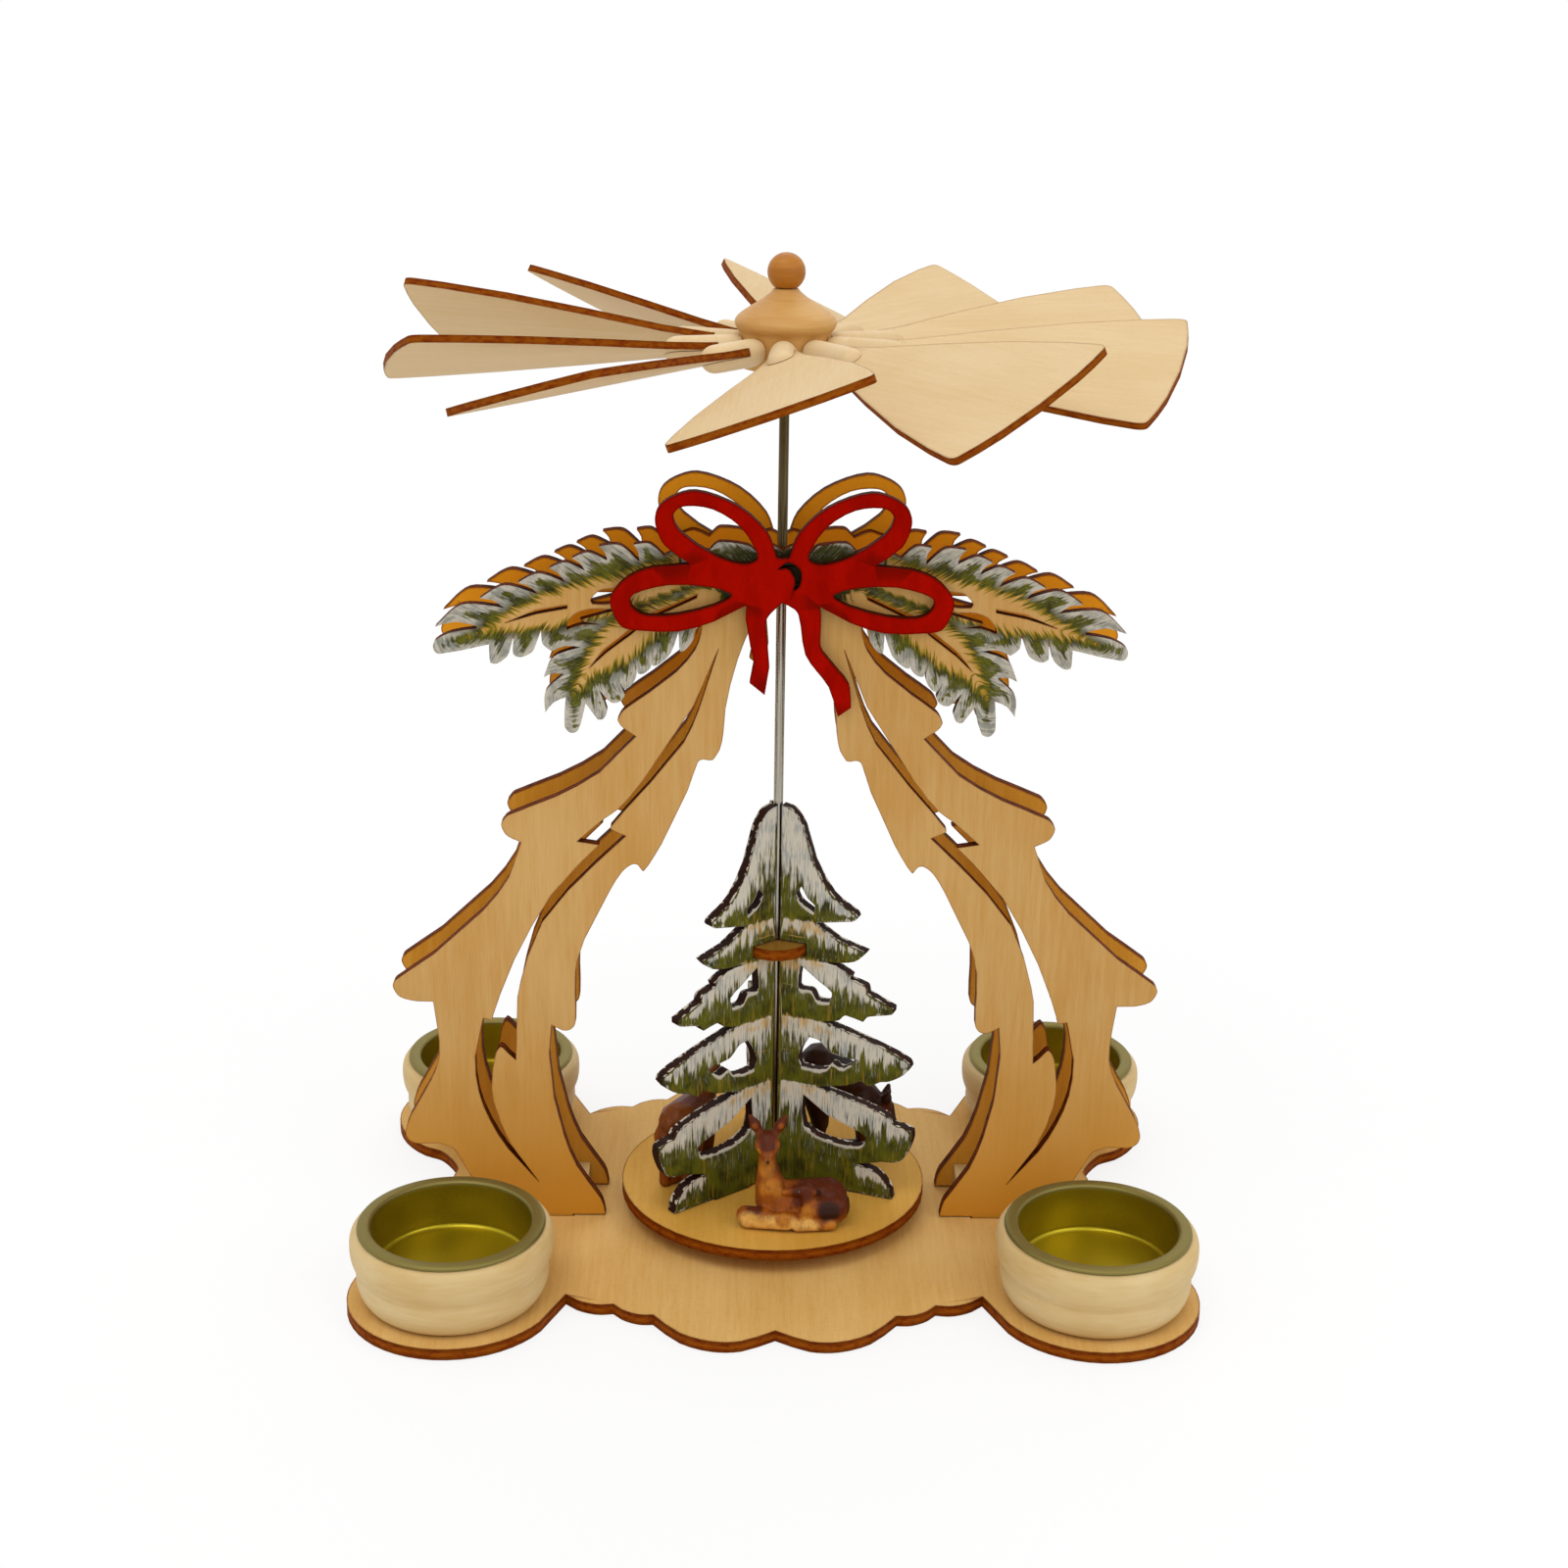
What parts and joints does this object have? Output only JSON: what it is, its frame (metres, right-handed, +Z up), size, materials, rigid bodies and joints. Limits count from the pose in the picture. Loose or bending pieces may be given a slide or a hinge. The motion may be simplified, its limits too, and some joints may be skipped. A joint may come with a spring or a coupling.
{
  "type": "christmas pyramid",
  "caption": "Wooden tabletop candle carousel: rising warm air turns a bladed rotor, shaft, tree and deer turntable between twin fir arches over tealight holders.",
  "frame": {"origin": "middle of the base's underside, on the shaft's axis", "axes": "+Z up along the shaft, front of the arches faces -Y"},
  "size_m": [0.2176, 0.1944, 0.2598],
  "materials": {
    "plywood": "bare plywood with burnt brown cut edges",
    "blade_plywood": "pale bare plywood with burnt brown cut edges",
    "pale_wood": "pale turned wood, bare",
    "turned_wood": "warm turned wood, bare",
    "red_paint": "deep red paint on the outer face, bare back",
    "fir_paint": "brushed green and snow-white paint over bare plywood",
    "gold_metal": "satin pressed metal",
    "steel": "drawn bright steel",
    "brown_resin": "painted glossy resin"
  },
  "bodies": {
    "stand": {"base_plate": "plywood", "front_arch": "plywood", "rear_arch": "plywood", "front_bow": "red_paint", "rear_bow": "red_paint", "left_foot_spacer": "pale_wood", "right_foot_spacer": "pale_wood", "crown_bridge": "pale_wood", "guide_bush": "gold_metal", "bearing_cup": "gold_metal", "candle_holder_front_left": "pale_wood", "candle_holder_front_right": "pale_wood", "candle_holder_rear_left": "pale_wood", "candle_holder_rear_right": "pale_wood", "tealight_cup_front_left": "gold_metal", "tealight_cup_front_right": "gold_metal", "tealight_cup_rear_left": "gold_metal", "tealight_cup_rear_right": "gold_metal"},
    "rotor": {"shaft": "steel", "turntable": "plywood", "tree_locking_disc": "plywood", "tree_wing_1": "fir_paint", "tree_wing_2": "fir_paint", "tree_wing_3": "fir_paint", "doe_and_fawn": "brown_resin", "standing_deer": "brown_resin", "dark_deer": "brown_resin", "hub": "turned_wood", "finial": "turned_wood"},
    "wind_blade_01": {"blade_peg_01": "pale_wood", "blade_01": "blade_plywood"},
    "wind_blade_02": {"blade_peg_02": "pale_wood", "blade_02": "blade_plywood"},
    "wind_blade_03": {"blade_peg_03": "pale_wood", "blade_03": "blade_plywood"},
    "wind_blade_04": {"blade_peg_04": "pale_wood", "blade_04": "blade_plywood"},
    "wind_blade_05": {"blade_peg_05": "pale_wood", "blade_05": "blade_plywood"},
    "wind_blade_06": {"blade_peg_06": "pale_wood", "blade_06": "blade_plywood"},
    "wind_blade_07": {"blade_peg_07": "pale_wood", "blade_07": "blade_plywood"},
    "wind_blade_08": {"blade_peg_08": "pale_wood", "blade_08": "blade_plywood"},
    "wind_blade_09": {"blade_peg_09": "pale_wood", "blade_09": "blade_plywood"},
    "wind_blade_10": {"blade_peg_10": "pale_wood", "blade_10": "blade_plywood"}
  },
  "joints": [
    {"name": "rotor_spin", "type": "hinge", "parent": "stand", "child": "rotor", "pos_m": [0, 0, 0.1], "axis": [0, 0, 1], "continuous": true},
    {"name": "blade_pitch_01", "type": "hinge", "parent": "rotor", "child": "wind_blade_01", "pos_m": [0, 0, 0.237], "axis": [0.9342, -0.3567, 0], "range_deg": [-23, 37]},
    {"name": "blade_pitch_02", "type": "hinge", "parent": "rotor", "child": "wind_blade_02", "pos_m": [0, 0, 0.237], "axis": [0.9655, 0.2605, 0], "range_deg": [-25, 35]},
    {"name": "blade_pitch_03", "type": "hinge", "parent": "rotor", "child": "wind_blade_03", "pos_m": [0, 0, 0.237], "axis": [0.628, 0.7782, 0], "range_deg": [-25, 35]},
    {"name": "blade_pitch_04", "type": "hinge", "parent": "rotor", "child": "wind_blade_04", "pos_m": [0, 0, 0.237], "axis": [0.0506, 0.9987, 0], "range_deg": [-25, 35]},
    {"name": "blade_pitch_05", "type": "hinge", "parent": "rotor", "child": "wind_blade_05", "pos_m": [0, 0, 0.237], "axis": [-0.5461, 0.8377, 0], "range_deg": [-27, 33]},
    {"name": "blade_pitch_06", "type": "hinge", "parent": "rotor", "child": "wind_blade_06", "pos_m": [0, 0, 0.237], "axis": [-0.9342, 0.3567, 0], "range_deg": [-34, 26]},
    {"name": "blade_pitch_07", "type": "hinge", "parent": "rotor", "child": "wind_blade_07", "pos_m": [0, 0, 0.237], "axis": [-0.9655, -0.2605, 0], "range_deg": [-19, 41]},
    {"name": "blade_pitch_08", "type": "hinge", "parent": "rotor", "child": "wind_blade_08", "pos_m": [0, 0, 0.237], "axis": [-0.628, -0.7782, 0], "range_deg": [-17, 43]},
    {"name": "blade_pitch_09", "type": "hinge", "parent": "rotor", "child": "wind_blade_09", "pos_m": [0, 0, 0.237], "axis": [-0.0506, -0.9987, 0], "range_deg": [-20, 40]},
    {"name": "blade_pitch_10", "type": "hinge", "parent": "rotor", "child": "wind_blade_10", "pos_m": [0, 0, 0.237], "axis": [0.5461, -0.8377, 0], "range_deg": [-27, 33]}
  ]
}
